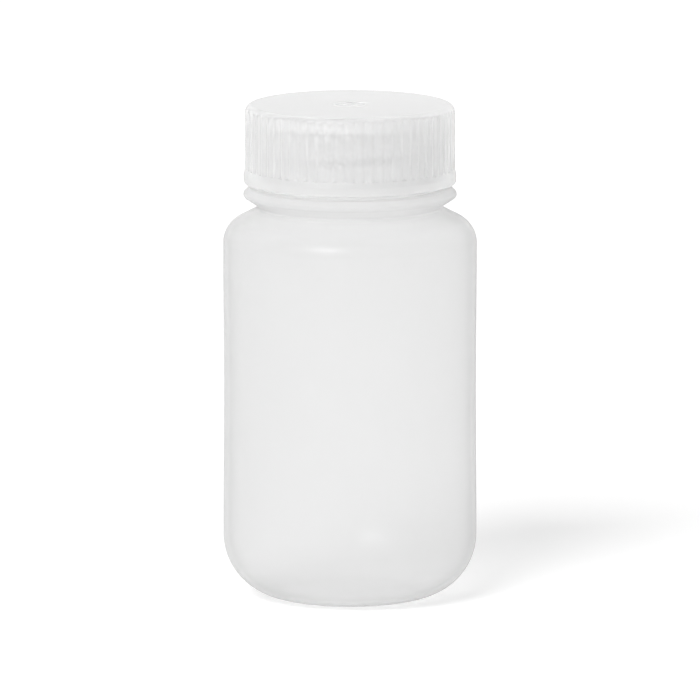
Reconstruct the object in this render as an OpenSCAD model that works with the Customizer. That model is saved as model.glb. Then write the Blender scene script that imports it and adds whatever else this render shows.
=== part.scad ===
// Wide-mouth 125 ml plastic reagent bottle with a 38 mm ribbed screw cap and a flat sealing liner.
// Millimetres, +Z up. The origin is on the bottle's axis, on the surface that it stands on.

/* [Bottle body] */
// Height of the closed bottle
total_h = 98; // [96:0.5:100]
// Outer diameter of the bottle body
body_d = 50; // [49:0.5:54]
// Height at which the straight wall ends and the shoulder starts
shoulder_z = 70.5; // [60:0.5:80]
// Thickness of the body wall
wall_t = 1.1; // [0.8:0.1:1.6]
// Thickness of the bottom
base_t = 1.5; // [1.2:0.1:2.5]
// Radius of the rounding between the wall and the bottom
heel_r = 12.5; // [9:0.5:14]
// Radius of the rounding between the wall and the sloping shoulder
shoulder_r = 5.5; // [4:0.5:6]
// Slope of the shoulder above horizontal, in degrees
shoulder_slope = 27; // [24:1:32]
// Width of the flat ring that the bottle stands on
foot_w = 2; // [1:0.5:3]
// Height of the hollow under the bottom
push_up = 1.2; // [0.6:0.1:2]

/* [Neck] */
// Outer radius of the neck under the thread
neck_r = 17.5; // [17.3:0.1:17.6]
// Radius of the mouth
mouth_r = 15.3; // [14.5:0.1:15.6]
// Outer radius of the groove between the shoulder and the collar
groove_r = 18.2; // [17.8:0.1:18.6]
// Height of the straight part of that groove
groove_h = 0.7; // [0.4:0.1:1.2]
// Outer radius of the collar under the cap
collar_r = 21; // [20.5:0.1:21.5]
// Radius of the collar's rounded rim
collar_rim_r = 0.7; // [0.5:0.1:0.8]

/* [Thread] */
// Rise of the thread in one turn, six turns to the inch
pitch = 4.233; // [4:0.001:4.3]
// Turns of thread on the neck
neck_thread_turns = 1.45; // [1:0.05:1.5]
// Turns of thread in the cap
cap_thread_turns = 1.5; // [1:0.05:1.6]
// Depth of either thread
thread_depth = 1.15; // [0.9:0.05:1.2]
// Angle over which a thread runs out at each end, in degrees
thread_fade = 30; // [18:6:48]

/* [Cap] */
// Outer radius of the cap at its ribs
cap_r = 20.66; // [20.4:0.02:21]
// Outer radius of the smooth band round the cap's open end
band_r = 20.92; // [20.7:0.02:21.2]
// Height of the smooth band
band_h = 3; // [2.5:0.1:4]
// Height of the cap
cap_h = 15.7; // [15.5:0.1:16]
// Thickness of the cap's top
cap_top_t = 2; // [1.5:0.1:2.2]
// Inner radius of the cap between its threads
cap_bore_r = 19; // [18.9:0.05:19.3]
// Radius of the rounding round the top edge
cap_edge_r = 1.5; // [1:0.1:1.8]
// Number of ribs
rib_count = 64; // [48:2:72]
// Depth of the flute between two ribs
flute_depth = 0.3; // [0.2:0.05:0.4]
// Width of a rib's crest
rib_w = 0.7; // [0.5:0.05:0.8]

/* [Liner] */
// Radius of the sealing liner
liner_r = 18.6; // [18:0.1:18.7]
// Thickness of the sealing liner
liner_t = 1.35; // [1:0.05:1.4]
// Gap left on each face of the liner
seal_gap = 0.05; // [0.03:0.01:0.1]

/* [Hidden] */

// Fragments of the turned shapes, and of the wide arc under the bottom
$fn = 180;
DOME_FN = 720;
// Overlap that joins two shapes or carries a cut past a face
OVER = 1;

body_r = body_d / 2;
// The heel's rounding ends on the flat ring that the bottle stands on.
foot_r = body_r - heel_r;

// Shoulder: an arc that meets the wall, then a straight slope to the groove.
// SLOPE_START is where the slope leaves the arc, as [radius, height].
shoulder_c = [body_r - shoulder_r, shoulder_z];
SLOPE_START = shoulder_c + shoulder_r * [sin(shoulder_slope), cos(shoulder_slope)];
groove_z = SLOPE_START[1] + (SLOPE_START[0] - groove_r) * tan(shoulder_slope);
under_z = groove_z + groove_h;

// Collar: a sloping underside, a rounded rim and a bevelled top edge.
UNDER_RISE = 1.45;
UNDER_SLOPE = 30;
TOP_RISE = 1.3;
BEVEL_SLOPE = 50;
BEVEL_REACH = 1.1;
rim_c = [collar_r - collar_rim_r, under_z + UNDER_RISE + collar_rim_r];
collar_top_z = rim_c[1] + TOP_RISE;

// Cap, from its flat top down, and the lip, which the liner and its two gaps keep from the ceiling.
ceiling_z = total_h - cap_top_t;
cap_bottom_z = total_h - cap_h;
band_top_z = cap_bottom_z + band_h;
lip_z = ceiling_z - liner_t - 2 * seal_gap;
LIP_ROUND = 0.5;
BAND_ROUND = 0.7;
FLARE_DROP = 1.1;
MOUTH_BEVEL = 0.3;

// Threads: the neck's starts at the front, and the cap's runs half a pitch below it.
RING_STEP = 6;
THREAD_SINK = 0.3;
NECK_ROOT_W = 2.8;
NECK_CREST_W = 1.5;
CAP_ROOT_W = 2.3;
CAP_CREST_W = 1.1;
NECK_START_ANGLE = -90;
CAP_START_ANGLE = -66;
COLLAR_TO_THREAD = 4.7;
neck_start_z = collar_top_z + COLLAR_TO_THREAD;
cap_start_z = neck_start_z + pitch * ((CAP_START_ANGLE - NECK_START_ANGLE) / 360 - 1 / 2);

// Gate mark: a round boss inside a shallow ring groove in the cap's top.
GATE_R = 1.1;
GATE_RING_R = 2.9;
GATE_DEPTH = 0.25;

// A corner ring of the ridge that makes a thread, at one angle along its helix.
// out is 1 where the ridge stands out of a neck, and -1 where it stands into a cap.
function ridge_ring(angle, z, wall_r, crest_r, root_w, crest_w, out) =
    let (base_r = wall_r - out * 2 * THREAD_SINK)
    [for (corner = [[base_r, -root_w], [base_r, root_w], [crest_r, crest_w], [crest_r, -crest_w]])
        [corner[0] * cos(angle), corner[0] * sin(angle), z + corner[1] / 2]];

// How far the ridge stands out at a distance from its nearer end: 0 at the end, 1 past the fade.
function fade(angle) = let (t = min(1, max(0, angle / thread_fade))) t * t * (3 - 2 * t);

// One helical ridge, sunk into the wall that it stands on.
module ridge(wall_r, depth, root_w, crest_w, start_angle, start_z, turns, out) {
    steps = ceil(turns * 360 / RING_STEP);
    rings = [for (i = [0:steps])
        let (angle = i * RING_STEP, rise = fade(min(angle, steps * RING_STEP - angle)))
        ridge_ring(start_angle + angle, start_z + pitch * angle / 360, wall_r,
            wall_r + out * (rise * (depth + THREAD_SINK) - THREAD_SINK), root_w, crest_w, out)];
    sides = [for (i = [0:steps - 1], k = [0:3])
        let (a = 4 * i + k, b = 4 * i + (k + 1) % 4)
        each [[a, b, b + 4], [a, b + 4, a + 4]]];
    last = 4 * steps * [1, 1, 1];
    ends = [[3, 2, 1], [3, 1, 0], last + [0, 1, 2], last + [0, 2, 3]];
    faces = concat(sides, ends);
    polyhedron([for (ring = rings) each ring],
        out > 0 ? [for (f = faces) [f[2], f[1], f[0]]] : faces);
}

// Half section of the body and its shoulder, set in by inset: 0 for the outside, wall_t for the inside.
module body_section(inset) {
    slope_at = shoulder_c + (shoulder_r - inset) * [sin(shoulder_slope), cos(shoulder_slope)];
    end = [mouth_r - OVER, slope_at[1] + (slope_at[0] - mouth_r + OVER) * tan(shoulder_slope)];
    translate([0, inset])
        square([foot_r, heel_r]);
    translate([0, heel_r])
        square([body_r - inset, shoulder_z - heel_r]);
    translate([foot_r, heel_r])
        intersection() {
            circle(heel_r - inset);
            translate([0, -heel_r])
                square(heel_r);
        }
    translate(shoulder_c)
        circle(shoulder_r - inset);
    polygon([[0, shoulder_z - OVER], shoulder_c - [0, OVER], shoulder_c, slope_at, end, [0, end[1]]]);
}

// Half section of the neck, its collar and the groove under the collar, all solid.
module neck_section() {
    translate([0, shoulder_z])
        square([groove_r, under_z - shoulder_z]);
    translate([0, shoulder_z])
        square([neck_r, lip_z - LIP_ROUND - shoulder_z]);
    translate([0, shoulder_z])
        square([neck_r - LIP_ROUND, lip_z - shoulder_z]);
    translate([neck_r - LIP_ROUND, lip_z - LIP_ROUND])
        circle(LIP_ROUND);
    translate(rim_c)
        circle(collar_rim_r);
    polygon([[0, under_z], [groove_r, under_z],
        rim_c + collar_rim_r * [sin(UNDER_SLOPE), -cos(UNDER_SLOPE)], rim_c,
        rim_c + collar_rim_r * [sin(BEVEL_SLOPE), cos(BEVEL_SLOPE)],
        [collar_r - BEVEL_REACH, collar_top_z], [0, collar_top_z]]);
}

// Dome of the hollow under the bottom, thickened by lift for the floor above it.
module dome_section(lift) {
    edge = foot_r - foot_w;
    dome_r = (edge * edge + push_up * push_up) / (2 * push_up);
    intersection() {
        translate([0, push_up - dome_r])
            circle(dome_r + lift, $fn = DOME_FN);
        translate([0, -OVER])
            square([foot_r, push_up + base_t + 2 * OVER]);
    }
}

module bottle() {
    color([0.9, 0.91, 0.92, 0.6])
    union() {
        rotate_extrude()
            difference() {
                union() {
                    body_section(0);
                    neck_section();
                }
                difference() {
                    body_section(wall_t);
                    dome_section(base_t);
                }
                translate([0, shoulder_z])
                    square([mouth_r, lip_z]);
                dome_section(0);
            }
        ridge(neck_r, thread_depth, NECK_ROOT_W, NECK_CREST_W,
            NECK_START_ANGLE, neck_start_z, neck_thread_turns, 1);
    }
}

module sealing_liner() {
    color([0.96, 0.96, 0.94])
    translate([0, 0, lip_z + seal_gap])
        cylinder(h = liner_t, r = liner_r);
}

// Half section of the cap's outside.
module cap_section() {
    difference() {
        union() {
            polygon([[0, cap_bottom_z], [band_r - BAND_ROUND, cap_bottom_z],
                [band_r - BAND_ROUND, cap_bottom_z + BAND_ROUND], [band_r, cap_bottom_z + BAND_ROUND],
                [band_r, band_top_z - FLARE_DROP], [cap_r, band_top_z],
                [cap_r, total_h - cap_edge_r], [cap_r - cap_edge_r, total_h - cap_edge_r],
                [cap_r - cap_edge_r, total_h], [0, total_h]]);
            translate([band_r - BAND_ROUND, cap_bottom_z + BAND_ROUND])
                circle(BAND_ROUND);
            translate([cap_r - cap_edge_r, total_h - cap_edge_r])
                circle(cap_edge_r);
        }
        polygon([[0, cap_bottom_z - OVER], [cap_bore_r + MOUTH_BEVEL + OVER, cap_bottom_z - OVER],
            [cap_bore_r, cap_bottom_z + MOUTH_BEVEL], [cap_bore_r, ceiling_z], [0, ceiling_z]]);
        translate([GATE_R, total_h - GATE_DEPTH])
            square([GATE_RING_R - GATE_R, GATE_DEPTH + OVER]);
    }
}

// The flutes in plan: all that lies outside the ribs. Each flute has a flat floor and sloping sides.
module flutes() {
    step = 360 / rib_count;
    crest_angle = rib_w / cap_r * 180 / PI / 2;
    floor_angle = (step / 2 - crest_angle) / 2;
    floor_r = cap_r - flute_depth;
    crest_r = cap_r + flute_depth / 2;
    difference() {
        circle(cap_r + OVER);
        polygon([for (i = [0:rib_count - 1])
            each [for (corner = [[crest_r, -crest_angle], [crest_r, crest_angle],
                    [floor_r, step / 2 - floor_angle], [floor_r, step / 2 + floor_angle]])
                let (angle = i * step + corner[1])
                corner[0] * [cos(angle), sin(angle)]]]);
    }
}

module screw_cap() {
    color([0.88, 0.89, 0.9, 0.8])
    union() {
        difference() {
            rotate_extrude()
                cap_section();
            translate([0, 0, band_top_z])
                linear_extrude(cap_h)
                    flutes();
        }
        ridge(cap_bore_r, thread_depth, CAP_ROOT_W, CAP_CREST_W,
            CAP_START_ANGLE, cap_start_z, cap_thread_turns, -1);
    }
}

bottle();
sealing_liner();
screw_cap();
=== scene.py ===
"""Looks of a wide-mouth plastic reagent bottle with a ribbed screw cap and a sealing liner.

Each piece is a finely turned shell in the CAD model's frame, in metres, +Z up, on the bottle's axis.
The plastic is translucent: what share of the light goes straight through it, and what share it
scatters, follows the thickness of the wall at each point.
"""
import math

import bpy
import numpy as np
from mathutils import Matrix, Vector
from mathutils.bvhtree import BVHTree


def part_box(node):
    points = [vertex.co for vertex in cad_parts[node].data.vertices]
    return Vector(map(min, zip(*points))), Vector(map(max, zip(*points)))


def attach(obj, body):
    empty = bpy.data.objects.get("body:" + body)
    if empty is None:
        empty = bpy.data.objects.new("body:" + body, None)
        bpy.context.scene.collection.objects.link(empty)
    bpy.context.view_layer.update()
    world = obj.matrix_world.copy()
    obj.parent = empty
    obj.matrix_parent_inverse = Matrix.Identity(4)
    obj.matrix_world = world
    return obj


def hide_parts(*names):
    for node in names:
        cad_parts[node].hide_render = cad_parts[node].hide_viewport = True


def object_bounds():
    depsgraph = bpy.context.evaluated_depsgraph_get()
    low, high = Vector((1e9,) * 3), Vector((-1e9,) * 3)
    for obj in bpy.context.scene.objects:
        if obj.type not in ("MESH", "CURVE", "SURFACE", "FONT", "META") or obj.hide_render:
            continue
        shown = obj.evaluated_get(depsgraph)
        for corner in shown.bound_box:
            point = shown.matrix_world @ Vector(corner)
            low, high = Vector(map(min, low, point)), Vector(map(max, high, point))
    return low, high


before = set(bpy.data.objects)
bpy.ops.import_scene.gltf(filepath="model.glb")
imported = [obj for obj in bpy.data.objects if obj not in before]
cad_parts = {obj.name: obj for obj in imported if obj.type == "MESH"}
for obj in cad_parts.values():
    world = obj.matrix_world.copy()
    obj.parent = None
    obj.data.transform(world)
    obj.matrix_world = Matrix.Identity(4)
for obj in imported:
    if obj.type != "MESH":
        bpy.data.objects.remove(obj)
CAD_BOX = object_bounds()

MM = 0.001
TURN = 2 * math.pi

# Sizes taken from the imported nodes
BOTTLE_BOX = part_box("bottle")
CAP_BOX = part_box("screw_cap")
LINER_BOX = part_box("sealing_liner")
BODY_R = min(abs(side) for corner in BOTTLE_BOX for side in corner.xy)
LIP_Z = BOTTLE_BOX[1].z
BAND_R = CAP_BOX[1].x
CAP_BOTTOM_Z = CAP_BOX[0].z
CAP_TOP_Z = CAP_BOX[1].z
LINER_R = LINER_BOX[1].x
LINER_LOW_Z = LINER_BOX[0].z
LINER_TOP_Z = LINER_BOX[1].z

# Bottle: the design's sizes that the boxes don't give
WALL_T = 1.1 * MM
BASE_T = 1.5 * MM
HEEL_R = 12.5 * MM
FOOT_R = BODY_R - HEEL_R
FOOT_W = 2.0 * MM
PUSH_UP = 1.2 * MM
SHOULDER_Z = 70.5 * MM
SHOULDER_R = 5.5 * MM
SHOULDER_SLOPE = math.radians(27)
WAIST = 0.15 * MM
NECK_R = 17.5 * MM
MOUTH_R = 15.3 * MM
LIP_ROUND = 0.5 * MM
GROOVE_R = 18.2 * MM
GROOVE_H = 0.7 * MM
COLLAR_R = 21.0 * MM
COLLAR_RIM_R = 0.7 * MM
COLLAR_UNDER_RISE = 1.45 * MM
COLLAR_TOP_RISE = 1.3 * MM
COLLAR_BEVEL_REACH = 1.1 * MM

# Threads
PITCH = 4.233 * MM
THREAD_DEPTH = 1.15 * MM
THREAD_FADE = math.radians(30)
NECK_THREAD = {"start": -TURN / 4, "turns": 1.45, "root": 2.8 * MM, "crest": 1.5 * MM}
CAP_THREAD = {"start": math.radians(-66), "turns": 1.5, "root": 2.3 * MM, "crest": 1.1 * MM}
COLLAR_TO_THREAD = 4.7 * MM

# Cap
CAP_R = 20.66 * MM
CAP_EDGE_R = 1.5 * MM
CAP_BORE_R = 19.0 * MM
CAP_TOP_T = 2.0 * MM
BORE_LEAD_IN = 0.3 * MM
BORE_FINE_H = 10.0 * MM
BAND_H = 3.0 * MM
BAND_ROUND = 0.7 * MM
FLARE_DROP = 1.1 * MM
RIB_COUNT = 64
RIB_W = 0.7 * MM
RIB_END = 0.2 * MM
FLUTE_DEPTH = 0.3 * MM
GATE_R = 1.1 * MM
GATE_RING_R = 2.9 * MM
GATE_DEPTH = 0.25 * MM

# Points round the axis in each shell, and the thickest wall that the plastic's look tells apart
BOTTLE_SEGMENTS = 384
CAP_SEGMENTS = 640
LINER_SEGMENTS = 192
BOTTLE_WALL_LIMIT = 2.5 * MM
CAP_WALL_LIMIT = 1.7 * MM

# Plastics: haze and back_scatter are how strongly a millimetre of wall scatters light, and how strongly
# it sends the scattered light back. straight_share of the rest isn't bent, and what is bent is blurred.
BOTTLE_LOOK = {
    "shade": 0.985,
    "haze": 0.64,
    "back_scatter": 0.14,
    "straight_share": 0.97,
    "blur": 0.2,
    "outer_roughness": 0.9,
    "grain_shift": 0,
}
CAP_LOOK = {
    "shade": 0.999,
    "haze": 0.45,
    "back_scatter": 0.32,
    "straight_share": 0.5,
    "blur": 0.2,
    "outer_roughness": 0.55,
    "grain_shift": 7,
}
INNER_ROUGHNESS = 0.2
PLASTIC_IOR = 1.49
# How much of the light the surface mirrors head on, and how steeply that rises at glancing angles
MIRROR_FACE_ON = 0.04
MIRROR_POWER = 5
# The plastic's grain, the painted shade between the neck's threads, and the foam
GRAIN_SCALE = 900
GRAIN_STRENGTH = 0.05
PAINTED_GAP_SHADE = 0.9
FOAM_SHADE = 0.98
FOAM_THROUGH = 0.5
FOAM_CELLS = 2500
FOAM_STRENGTH = 0.4
BUMP_HEIGHT = 0.1 * MM

# Camera: a long lens, a little above the bottle
CAMERA_DISTANCE = 3.0
CAMERA_ELEVATION = math.radians(9.15)
CAMERA_LENS = 792.6

# Light: an even room, brighter behind and a little brighter above, and one soft key from the front left
ROOM = 0.342
BACKLIGHT = 0.745
BACKLIGHT_START = -0.6
TOPLIGHT = 0.02
KEY = 1.565
KEY_ANGLE = math.radians(27)
TOWARD_KEY = Vector((-0.42, -0.82, 0.78))

# Floor and backdrop, and how they are exposed where the camera sees them directly
FLOOR_HALF = 20.0
FLOOR_DROP = 0.02 * MM
FLOOR_SHADE = 0.92
FLOOR_GLOW = 0.044
FLOOR_GAIN = 1.18
BACKDROP = 1.02


def line(start, end, step):
    """Points from start towards end, about step apart, without the end itself."""
    start, end = np.array(start, float), np.array(end, float)
    count = max(1, round(float(np.linalg.norm(end - start)) / step))
    return start + (end - start) * np.arange(count)[:, None] / count


def arc(centre, radius, first, last, step):
    """Points of an arc from angle first towards last, in degrees, without the last point."""
    count = max(3, round(abs(math.radians(last - first)) * radius / step))
    angles = np.radians(first + (last - first) * np.arange(count) / count)
    return np.array(centre) + radius * np.stack([np.cos(angles), np.sin(angles)], 1)


def polar(centre, radius, angle):
    """The point of a circle at an angle in degrees."""
    a = math.radians(angle)
    return (centre[0] + radius * math.cos(a), centre[1] + radius * math.sin(a))


def smooth(t):
    """Eases from 0 to 1 as t goes from 0 to 1."""
    t = np.clip(t, 0, 1)
    return t * t * (3 - 2 * t)


def turned(name, profile, segments, radius_at=None):
    """A closed shell of revolution. profile runs from the axis to the axis, as (radius, height).

    radius_at(r, z, angle, row) returns the radius at each point of the grid, for ribs and threads.
    """
    rows = profile[1:-1]
    angles = TURN * np.arange(segments) / segments
    r = np.repeat(rows[:, :1], segments, 1)
    z = np.repeat(rows[:, 1:], segments, 1)
    a = np.repeat(angles[None], len(rows), 0)
    if radius_at:
        r = radius_at(r, z, a, np.repeat(np.arange(len(rows))[:, None], segments, 1))
    grid = np.stack([r * np.cos(a), r * np.sin(a), z], 2).reshape(-1, 3)
    first, last = len(grid), len(grid) + 1
    points = np.vstack([grid, [[0, 0, profile[0][1]], [0, 0, profile[-1][1]]]])
    i = np.arange(segments)
    j = (i + 1) % segments
    low = np.arange(len(rows) - 1)[:, None] * segments
    quads = np.stack([low + i, low + j, low + segments + j, low + segments + i], 2).reshape(-1, 4)
    top = (len(rows) - 1) * segments
    faces = quads.tolist()
    faces += np.stack([np.full(segments, first), j, i], 1).tolist()
    faces += np.stack([np.full(segments, last), top + i, top + j], 1).tolist()
    mesh = bpy.data.meshes.new(name)
    mesh.from_pydata(points.tolist(), [], faces)
    mesh.update()
    mesh.shade_smooth()
    piece = bpy.data.objects.new(name, mesh)
    bpy.context.collection.objects.link(piece)
    return piece


def thread_height(z, angle, thread, start_z):
    """How far a helical thread stands out of its wall at each point."""
    height = np.zeros_like(z)
    length = thread["turns"] * TURN
    for turn in range(math.ceil(thread["turns"])):
        along = (angle - thread["start"]) % TURN + turn * TURN
        centre = start_z + PITCH * along / TURN
        side = (thread["root"] / 2 - np.abs(z - centre)) / ((thread["root"] - thread["crest"]) / 2)
        ends = smooth(np.minimum(along, length - along) / THREAD_FADE)
        height = np.maximum(height, THREAD_DEPTH * smooth(side) * ends)
    return height


def store(piece, name, values):
    """Stores one number at each vertex, as an attribute that the materials read."""
    layer = piece.data.attributes.new(name, "FLOAT", "POINT")
    layer.data.foreach_set("value", values.astype(np.float32))


def read_vertices(piece, kind):
    """The vertices' places, for kind co, or their normals, for kind normal."""
    flat = np.empty(len(piece.data.vertices) * 3)
    piece.data.vertices.foreach_get(kind, flat)
    return flat.reshape(-1, 3)


def measure_wall(piece, most):
    """Stores how thick the plastic is under each vertex, in millimetres, as the attribute wall_mm."""
    start_depth = 0.02 * MM
    places = read_vertices(piece, "co")
    normals = read_vertices(piece, "normal")
    tree = BVHTree.FromPolygons([Vector(c) for c in places], [p.vertices[:] for p in piece.data.polygons])
    wall = np.full(len(places), most)
    for i in range(len(places)):
        into = Vector(-normals[i])
        distance = tree.ray_cast(Vector(places[i]) + into * start_depth, into, most)[3]
        if distance is not None:
            wall[i] = distance
    store(piece, "wall_mm", wall / MM)


def mark_gap_shade(piece, wall_r, low_z):
    """Stores 1 in the air gap between the neck's and the cap's threads, for painted shade there, and 0
    elsewhere, as gap.
    """
    slack = 0.02
    thread_foot = 0.6
    fade = 1.0 * MM
    places = read_vertices(piece, "co")
    z = places[:, 2]
    stands = (np.hypot(places[:, 0], places[:, 1]) - wall_r) / THREAD_DEPTH
    on_wall = (stands > -slack) & (stands < 1 + slack) & (z > low_z) & (z < LIP_Z)
    ends = smooth((z - low_z - fade) / fade) * smooth((LIP_Z - z) / fade)
    store(piece, "gap", np.where(on_wall, 1 - smooth(stands / thread_foot), 0) * ends)


def mark_inside(piece, segments, first_row):
    """Stores 1 on the rows from first_row on, which are the shell's inside, and 0 outside, as inside.

    After the rows come the two points on the axis, the outer one first.
    """
    mark = np.zeros(len(piece.data.vertices))
    mark[first_row * segments:-2] = 1
    mark[-1] = 1
    store(piece, "inside", mark)


# Heights that follow from the sizes above. The cap's thread runs halfway between the neck's turns
SHOULDER_C = (BODY_R - SHOULDER_R, SHOULDER_Z)
SLOPE_ANGLE = 90 - math.degrees(SHOULDER_SLOPE)
SLOPE_START = polar(SHOULDER_C, SHOULDER_R, SLOPE_ANGLE)
GROOVE_Z = SLOPE_START[1] + (SLOPE_START[0] - GROOVE_R) * math.tan(SHOULDER_SLOPE)
UNDER_Z = GROOVE_Z + GROOVE_H
RIM_C = (COLLAR_R - COLLAR_RIM_R, UNDER_Z + COLLAR_UNDER_RISE + COLLAR_RIM_R)
COLLAR_TOP_Z = RIM_C[1] + COLLAR_TOP_RISE
NECK_THREAD_Z = COLLAR_TOP_Z + COLLAR_TO_THREAD
CAP_THREAD_Z = NECK_THREAD_Z + PITCH * ((CAP_THREAD["start"] - NECK_THREAD["start"]) / TURN - 0.5)
CEILING_Z = CAP_TOP_Z - CAP_TOP_T
BAND_TOP_Z = CAP_BOTTOM_Z + BAND_H


def bottle_profile():
    """Half section of the bottle: up the outside from the middle of the bottom, and down the inside.

    The last number of each stretch is the step between its points.
    """
    edge = FOOT_R - FOOT_W
    dome_r = (edge ** 2 + PUSH_UP ** 2) / (2 * PUSH_UP)
    dome_c = (0, PUSH_UP - dome_r)
    dome_end = 90 - math.degrees(math.asin(edge / dome_r))
    fillet = 0.35 * MM
    ease_r = 0.1 * MM
    ease_z = 0.05 * MM
    under_ease = 0.18 * MM
    rim_low, rim_high = -60, 40
    bevel_r = COLLAR_R - COLLAR_BEVEL_REACH
    lip_c_z = LIP_Z - LIP_ROUND
    outside = [
        arc(dome_c, dome_r, 90, dome_end, 1.0 * MM),
        line((edge, 0), (FOOT_R, 0), 0.7 * MM),
        arc((FOOT_R, HEEL_R), HEEL_R, -90, 0, 0.8 * MM),
        line((BODY_R, HEEL_R), (BODY_R, SHOULDER_Z), 2.0 * MM),
        arc(SHOULDER_C, SHOULDER_R, 0, SLOPE_ANGLE, 0.5 * MM),
        line(SLOPE_START, (GROOVE_R + fillet, GROOVE_Z - fillet * math.tan(SHOULDER_SLOPE)), 0.5 * MM),
        line((GROOVE_R + ease_r, GROOVE_Z + ease_z), (GROOVE_R, GROOVE_Z + fillet), 0.15 * MM),
        line((GROOVE_R, GROOVE_Z + fillet), (GROOVE_R + ease_r, UNDER_Z - ease_z), 0.2 * MM),
        line((GROOVE_R + fillet, UNDER_Z + under_ease), polar(RIM_C, COLLAR_RIM_R, rim_low), 0.35 * MM),
        arc(RIM_C, COLLAR_RIM_R, rim_low, rim_high, 0.12 * MM),
        line(polar(RIM_C, COLLAR_RIM_R, rim_high), (bevel_r, COLLAR_TOP_Z), 0.15 * MM),
        line((bevel_r, COLLAR_TOP_Z), (NECK_R + fillet, COLLAR_TOP_Z), 0.4 * MM),
        arc((NECK_R + fillet, COLLAR_TOP_Z + fillet), fillet, 270, 180, 0.15 * MM),
        line((NECK_R, COLLAR_TOP_Z + fillet), (NECK_R, lip_c_z), 0.2 * MM),
        arc((NECK_R - LIP_ROUND, lip_c_z), LIP_ROUND, 0, 90, 0.12 * MM),
        line((NECK_R - LIP_ROUND, LIP_Z), (MOUTH_R + LIP_ROUND, LIP_Z), 0.3 * MM),
        arc((MOUTH_R + LIP_ROUND, lip_c_z), LIP_ROUND, 90, 180, 0.12 * MM),
    ]
    inner_slope = polar(SHOULDER_C, SHOULDER_R - WALL_T, SLOPE_ANGLE)
    bore_end_z = inner_slope[1] + (inner_slope[0] - MOUTH_R) * math.tan(SHOULDER_SLOPE)
    floor_r = dome_r + BASE_T
    floor_edge = math.sqrt(floor_r ** 2 - (WALL_T - dome_c[1]) ** 2)
    floor_end = 90 - math.degrees(math.asin(floor_edge / floor_r))
    inside = [
        line((MOUTH_R, lip_c_z), (MOUTH_R, bore_end_z), 0.8 * MM),
        line((MOUTH_R, bore_end_z), inner_slope, 0.6 * MM),
        arc(SHOULDER_C, SHOULDER_R - WALL_T, SLOPE_ANGLE, 0, 0.5 * MM),
        line((BODY_R - WALL_T, SHOULDER_Z), (BODY_R - WALL_T, HEEL_R), 2.0 * MM),
        arc((FOOT_R, HEEL_R), HEEL_R - WALL_T, 0, -90, 0.8 * MM),
        arc(dome_c, floor_r, floor_end, 90, 1.0 * MM),
        [(0, PUSH_UP + BASE_T)],
    ]
    profile = np.vstack(outside + inside)
    straight = (profile[:, 1] > HEEL_R) & (profile[:, 1] < SHOULDER_Z)
    along = (profile[:, 1] - HEEL_R) / (SHOULDER_Z - HEEL_R)
    profile[straight, 0] -= WAIST * np.sin(math.pi * along[straight]) ** 2
    return profile


def build_bottle():
    """The bottle, with the thread on its neck."""
    profile = bottle_profile()
    lip_row = int(np.argmax(profile[:, 1])) - 1

    def radius_at(r, z, a, row):
        on_neck = (row < lip_row) & (z > COLLAR_TOP_Z) & (z < LIP_Z - LIP_ROUND)
        return r + np.where(on_neck, thread_height(z, a, NECK_THREAD, NECK_THREAD_Z), 0)

    piece = turned("bottle_shell", profile, BOTTLE_SEGMENTS, radius_at)
    mark_inside(piece, BOTTLE_SEGMENTS, lip_row)
    mark_gap_shade(piece, NECK_R, COLLAR_TOP_Z)
    measure_wall(piece, BOTTLE_WALL_LIMIT)
    return piece


def cap_profile():
    """Half section of the cap: down the outside from the middle of the top, and up the inside.

    The last number of each stretch is the step between its points.
    """
    soft = 0.12 * MM
    ease_r = 0.1 * MM
    ease_z = 0.05 * MM
    gate_z = CAP_TOP_Z - GATE_DEPTH
    side_top = CAP_TOP_Z - CAP_EDGE_R
    flare_z = BAND_TOP_Z - FLARE_DROP
    band_round_z = CAP_BOTTOM_Z + BAND_ROUND
    lead_z = CAP_BOTTOM_Z + BORE_LEAD_IN
    fine_z = CAP_BOTTOM_Z + BORE_FINE_H
    lead_r = CAP_BORE_R + BORE_LEAD_IN
    outside = [
        line((0, CAP_TOP_Z), (GATE_R - soft, CAP_TOP_Z), 0.4 * MM),
        line((GATE_R, CAP_TOP_Z - soft), (GATE_R + soft, gate_z), 0.1 * MM),
        line((GATE_R + 2 * soft, gate_z), (GATE_RING_R - 2 * soft, gate_z), 0.4 * MM),
        line((GATE_RING_R - soft, gate_z), (GATE_RING_R, CAP_TOP_Z - soft), 0.1 * MM),
        line((GATE_RING_R + soft, CAP_TOP_Z), (CAP_R - CAP_EDGE_R, CAP_TOP_Z), 1.0 * MM),
        arc((CAP_R - CAP_EDGE_R, side_top), CAP_EDGE_R, 90, 0, 0.12 * MM),
        line((CAP_R, side_top), (CAP_R, BAND_TOP_Z + RIB_END), 0.8 * MM),
        line((CAP_R, BAND_TOP_Z + RIB_END), (CAP_R, BAND_TOP_Z), 0.07 * MM),
        line((CAP_R, BAND_TOP_Z), (BAND_R, flare_z), 0.3 * MM),
        line((BAND_R, flare_z), (BAND_R, band_round_z), 0.4 * MM),
        arc((BAND_R - BAND_ROUND, band_round_z), BAND_ROUND, 0, -90, 0.12 * MM),
        line((BAND_R - BAND_ROUND, CAP_BOTTOM_Z), (lead_r, CAP_BOTTOM_Z), 0.3 * MM),
    ]
    inside = [
        line((lead_r - ease_r, CAP_BOTTOM_Z + ease_z), (CAP_BORE_R, lead_z), 0.1 * MM),
        line((CAP_BORE_R, lead_z), (CAP_BORE_R, fine_z), 0.25 * MM),
        line((CAP_BORE_R, fine_z), (CAP_BORE_R, CEILING_Z - ease_r), 0.5 * MM),
        line((CAP_BORE_R - ease_r, CEILING_Z), (0, CEILING_Z), 1.2 * MM),
        [(0, CEILING_Z)],
    ]
    return np.vstack(outside + inside)


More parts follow.
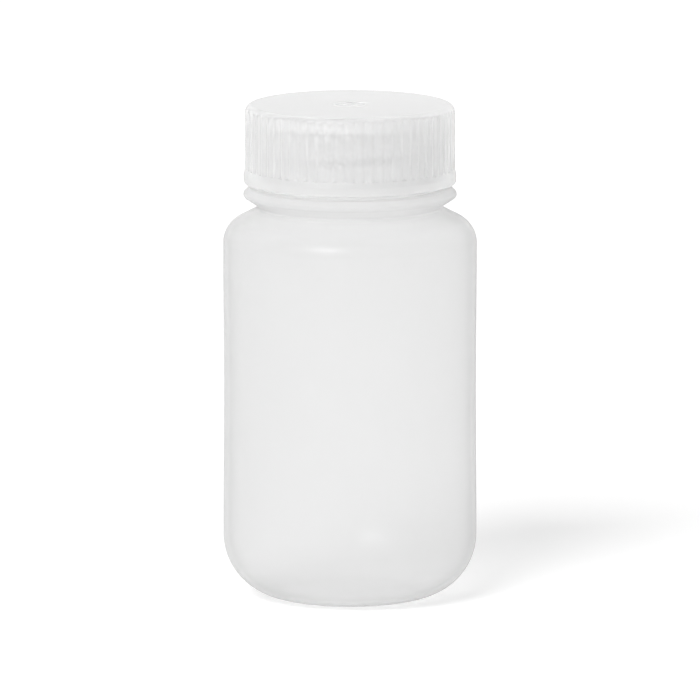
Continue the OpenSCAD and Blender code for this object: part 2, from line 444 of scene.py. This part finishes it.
def build_cap():
    """The cap, with the flutes between its ribs outside and its thread inside."""
    profile = cap_profile()
    turn_row = int(np.argmin(profile[:, 1])) - 1
    rib_pitch = TURN * CAP_R / RIB_COUNT
    half_flute = (rib_pitch - RIB_W) / 2
    below_ceiling = 0.5 * MM

    def radius_at(r, z, a, row):
        outer = row < turn_row
        from_rib = np.abs((a * RIB_COUNT / TURN + 0.5) % 1 - 0.5) * rib_pitch
        across = (rib_pitch / 2 - from_rib) / half_flute
        flute = CAP_R - FLUTE_DEPTH + FLUTE_DEPTH * across ** 2
        ends = smooth((z - BAND_TOP_Z) / RIB_END)
        cut = r + np.minimum(flute - r, 0) * ends
        thread = thread_height(z, a, CAP_THREAD, CAP_THREAD_Z)
        in_bore = ~outer & (z > CAP_BOTTOM_Z + BORE_LEAD_IN) & (z < CEILING_Z - below_ceiling)
        return np.where(outer, cut, r - np.where(in_bore, thread, 0))

    piece = turned("cap_shell", profile, CAP_SEGMENTS, radius_at)
    mark_inside(piece, CAP_SEGMENTS, turn_row)
    measure_wall(piece, CAP_WALL_LIMIT)
    return piece


def build_liner():
    """The liner, a plain disc with rounded edges."""
    edge = 0.2 * MM
    profile = np.vstack([
        line((0, LINER_TOP_Z), (LINER_R - edge, LINER_TOP_Z), 1.5 * MM),
        arc((LINER_R - edge, LINER_TOP_Z - edge), edge, 90, 0, 0.08 * MM),
        line((LINER_R, LINER_TOP_Z - edge), (LINER_R, LINER_LOW_Z + edge), 0.3 * MM),
        arc((LINER_R - edge, LINER_LOW_Z + edge), edge, 0, -90, 0.08 * MM),
        line((LINER_R - edge, LINER_LOW_Z), (0, LINER_LOW_Z), 1.5 * MM),
        [(0, LINER_LOW_Z)],
    ])
    return turned("liner_disc", profile, LINER_SEGMENTS)


def new_material(name):
    """A node material without nodes, and its nodes and links."""
    material = bpy.data.materials.new(name)
    material.use_nodes = True
    material.node_tree.nodes.clear()
    return material, material.node_tree.nodes, material.node_tree.links


def math_node(nodes, links, operation, *values):
    """The result of a math node. Each value is a number or another node's output."""
    node = nodes.new("ShaderNodeMath")
    node.operation = operation
    for socket, value in zip(node.inputs, values):
        if isinstance(value, (int, float)):
            socket.default_value = value
        else:
            links.new(value, socket)
    return node.outputs[0]


def attribute(nodes, name):
    """The number that a piece's mesh stores under this name."""
    node = nodes.new("ShaderNodeAttribute")
    node.attribute_name = name
    return node.outputs["Fac"]


def mixed(nodes, links, share, first, second):
    """A mix of two shaders. share, a number or an output, is how much of it is the second."""
    node = nodes.new("ShaderNodeMixShader")
    if isinstance(share, (int, float)):
        node.inputs["Fac"].default_value = share
    else:
        links.new(share, node.inputs["Fac"])
    links.new(first.outputs[0], node.inputs[1])
    links.new(second.outputs[0], node.inputs[2])
    return node


def bumped(nodes, links, height, strength):
    """The normal of a surface with this fine relief."""
    bump = nodes.new("ShaderNodeBump")
    bump.inputs["Strength"].default_value = strength
    bump.inputs["Distance"].default_value = BUMP_HEIGHT
    links.new(height, bump.inputs["Height"])
    return bump.outputs["Normal"]


def set_surface(nodes, links, shader):
    """Makes this shader the material's surface."""
    out = nodes.new("ShaderNodeOutputMaterial")
    links.new(shader.outputs[0], out.inputs["Surface"])


def milk_shader(nodes, links, wall, shade, back_scatter):
    """Light that the plastic scatters: back where the wall is thick, and onward where it is thin."""
    # Painted shade: the plastic is made darker in the air gap between the neck's threads, as if shade fell
    # there
    tone = nodes.new("ShaderNodeMix")
    tone.data_type = "RGBA"
    tone.inputs[6].default_value = (shade, shade, shade, 1)
    tone.inputs[7].default_value = (PAINTED_GAP_SHADE, PAINTED_GAP_SHADE, PAINTED_GAP_SHADE, 1)
    links.new(attribute(nodes, "gap"), tone.inputs["Factor"])
    front = nodes.new("ShaderNodeBsdfDiffuse")
    back = nodes.new("ShaderNodeBsdfTranslucent")
    for shader in (front, back):
        links.new(tone.outputs[2], shader.inputs["Color"])
    optical = math_node(nodes, links, "MULTIPLY", wall, -back_scatter)
    return mixed(nodes, links, math_node(nodes, links, "EXPONENT", optical), front, back)


def through_shader(nodes, links, straight_share, blur):
    """Light that goes through unscattered, part of it straight and the rest bent.

    Shadow rays go straight, so that the lamp lights the inside.
    """
    bent = nodes.new("ShaderNodeBsdfGlass")
    bent.inputs["IOR"].default_value = PLASTIC_IOR
    bent.inputs["Roughness"].default_value = blur
    straight = nodes.new("ShaderNodeBsdfTransparent")
    path = nodes.new("ShaderNodeLightPath")
    share = math_node(nodes, links, "MAXIMUM", path.outputs["Is Shadow Ray"], straight_share)
    return mixed(nodes, links, share, bent, straight)


def gloss_shader(nodes, links, outer_roughness, grain_shift):
    """The plastic's surface reflection: matt with a fine grain outside, and glossier inside."""
    place = nodes.new("ShaderNodeTexCoord")
    moved = nodes.new("ShaderNodeMapping")
    moved.inputs["Location"].default_value = (grain_shift, 0, 0)
    links.new(place.outputs["Object"], moved.inputs["Vector"])
    grain = nodes.new("ShaderNodeTexNoise")
    grain.inputs["Scale"].default_value = GRAIN_SCALE
    grain.inputs["Detail"].default_value = 2
    links.new(moved.outputs["Vector"], grain.inputs["Vector"])
    gloss = nodes.new("ShaderNodeBsdfGlossy")
    links.new(bumped(nodes, links, grain.outputs["Fac"], GRAIN_STRENGTH), gloss.inputs["Normal"])
    change = INNER_ROUGHNESS - outer_roughness
    roughness = math_node(nodes, links, "MULTIPLY_ADD", attribute(nodes, "inside"), change, outer_roughness)
    links.new(roughness, gloss.inputs["Roughness"])
    return gloss


def plastic(name, shade, haze, back_scatter, straight_share, blur, outer_roughness, grain_shift):
    """Translucent polypropylene."""
    material, nodes, links = new_material(name)
    wall = attribute(nodes, "wall_mm")
    milk = milk_shader(nodes, links, wall, shade, back_scatter)
    through = through_shader(nodes, links, straight_share, blur)
    gloss = gloss_shader(nodes, links, outer_roughness, grain_shift)
    # A ray meets both faces of a wall, so each face takes half of the haze
    clear = math_node(nodes, links, "EXPONENT", math_node(nodes, links, "MULTIPLY", wall, -haze / 2))
    body = mixed(nodes, links, clear, milk, through)
    tilt = nodes.new("ShaderNodeLayerWeight")
    tilt.inputs["Blend"].default_value = 0.5
    steep = math_node(nodes, links, "POWER", tilt.outputs["Facing"], MIRROR_POWER)
    mirror = math_node(nodes, links, "MULTIPLY_ADD", steep, 1 - MIRROR_FACE_ON, MIRROR_FACE_ON)
    set_surface(nodes, links, mixed(nodes, links, mirror, body, gloss))
    return material


def foam(name, shade):
    """Fine-celled white foam, which lets half of its light through."""
    material, nodes, links = new_material(name)
    place = nodes.new("ShaderNodeTexCoord")
    cells = nodes.new("ShaderNodeTexVoronoi")
    cells.inputs["Scale"].default_value = FOAM_CELLS
    links.new(place.outputs["Object"], cells.inputs["Vector"])
    normal = bumped(nodes, links, cells.outputs["Distance"], FOAM_STRENGTH)
    front = nodes.new("ShaderNodeBsdfDiffuse")
    back = nodes.new("ShaderNodeBsdfTranslucent")
    for shader in (front, back):
        shader.inputs["Color"].default_value = (shade, shade, shade, 1)
        links.new(normal, shader.inputs["Normal"])
    set_surface(nodes, links, mixed(nodes, links, FOAM_THROUGH, front, back))
    return material


def seen_directly(nodes, links):
    """1 for a ray straight from the camera, and 0 for one that has met or passed through anything."""
    path = nodes.new("ShaderNodeLightPath")
    clear_way = math_node(nodes, links, "LESS_THAN", path.outputs["Transparent Depth"], 1)
    return math_node(nodes, links, "MULTIPLY", path.outputs["Is Camera Ray"], clear_way)


def paper(name, shade, glow):
    """Pale card, lit a little from below, and exposed to white where the camera sees it directly."""
    material, nodes, links = new_material(name)
    gain = math_node(nodes, links, "MULTIPLY_ADD", seen_directly(nodes, links), FLOOR_GAIN - 1, 1)
    shader = nodes.new("ShaderNodeBsdfDiffuse")
    links.new(math_node(nodes, links, "MULTIPLY", gain, shade), shader.inputs["Color"])
    lit = nodes.new("ShaderNodeEmission")
    links.new(math_node(nodes, links, "MULTIPLY", gain, glow), lit.inputs["Strength"])
    both = nodes.new("ShaderNodeAddShader")
    links.new(shader.outputs[0], both.inputs[0])
    links.new(lit.outputs[0], both.inputs[1])
    set_surface(nodes, links, both)
    return material


def place_camera():
    """A long lens, 3 m in front and a little above, as a catalogue picture is taken."""
    target = Vector((0, 0, (CAD_BOX[0].z + CAD_BOX[1].z) / 2))
    away = Vector((0, -CAMERA_DISTANCE, CAMERA_DISTANCE * math.tan(CAMERA_ELEVATION)))
    data = bpy.data.cameras.new("camera")
    data.lens = CAMERA_LENS
    data.sensor_width = 36
    data.clip_start = 0.1
    data.clip_end = 50
    camera = bpy.data.objects.new("camera", data)
    camera.location = target + away
    camera.rotation_euler = (-away).to_track_quat("-Z", "Y").to_euler()
    bpy.context.collection.objects.link(camera)
    bpy.context.scene.camera = camera


def set_light_paths():
    """Plain colours, and enough bounces for light to find its way through four translucent walls."""
    scene = bpy.context.scene
    scene.view_settings.view_transform = "Standard"
    scene.cycles.transparent_max_bounces = 32
    scene.cycles.max_bounces = 40
    scene.cycles.transmission_bounces = 32
    scene.cycles.diffuse_bounces = 24
    scene.cycles.glossy_bounces = 16


def light_room():
    """A white studio: the same light from all sides, with more from behind and from above."""
    world = bpy.data.worlds.new("studio")
    world.use_nodes = True
    nodes, links = world.node_tree.nodes, world.node_tree.links
    nodes.clear()
    place = nodes.new("ShaderNodeTexCoord")
    axes = nodes.new("ShaderNodeSeparateXYZ")
    links.new(place.outputs["Generated"], axes.inputs[0])
    total = ROOM
    for axis, start, amount in (("Y", BACKLIGHT_START, BACKLIGHT), ("Z", 0.0, TOPLIGHT)):
        lobe = nodes.new("ShaderNodeMapRange")
        lobe.interpolation_type = "SMOOTHSTEP"
        lobe.inputs["From Min"].default_value = start
        lobe.inputs["From Max"].default_value = 1
        lobe.inputs["To Min"].default_value = 0
        lobe.inputs["To Max"].default_value = amount
        links.new(axes.outputs[axis], lobe.inputs["Value"])
        total = math_node(nodes, links, "ADD", lobe.outputs[0], total)
    strength = nodes.new("ShaderNodeMix")
    links.new(seen_directly(nodes, links), strength.inputs["Factor"])
    links.new(total, strength.inputs["A"])
    strength.inputs["B"].default_value = BACKDROP
    background = nodes.new("ShaderNodeBackground")
    background.inputs["Color"].default_value = (1, 1, 1, 1)
    links.new(strength.outputs[0], background.inputs["Strength"])
    out = nodes.new("ShaderNodeOutputWorld")
    links.new(background.outputs[0], out.inputs["Surface"])
    bpy.context.scene.world = world


def place_key():
    """One large soft lamp, in front on the left, which throws the shadow to the back right."""
    lamp = bpy.data.lights.new("key", "SUN")
    lamp.energy = KEY
    lamp.angle = KEY_ANGLE
    key = bpy.data.objects.new("key", lamp)
    key.rotation_euler = (-TOWARD_KEY).to_track_quat("-Z", "Y").to_euler()
    bpy.context.collection.objects.link(key)


def build_floor():
    """A plain pale floor, just under the bottle's foot."""
    size = FLOOR_HALF
    corners = [(-size, -size, 0), (size, -size, 0), (size, size, 0), (-size, size, 0)]
    mesh = bpy.data.meshes.new("floor")
    mesh.from_pydata(corners, [], [(0, 1, 2, 3)])
    floor = bpy.data.objects.new("floor", mesh)
    floor.location.z = -FLOOR_DROP
    bpy.context.collection.objects.link(floor)
    mesh.materials.append(paper("pale_floor", FLOOR_SHADE, FLOOR_GLOW))


place_camera()
set_light_paths()
light_room()
place_key()
build_floor()

for build, node, body, slot, material in (
    (build_bottle, "bottle", "bottle", "bottle_plastic", plastic("bottle_plastic", **BOTTLE_LOOK)),
    (build_cap, "screw_cap", "cap", "cap_plastic", plastic("cap_plastic", **CAP_LOOK)),
    (build_liner, "sealing_liner", "liner", "liner_foam", foam("liner_foam", FOAM_SHADE)),
):
    piece = build()
    piece.data.materials.append(material)
    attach(piece, body)
    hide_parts(node)
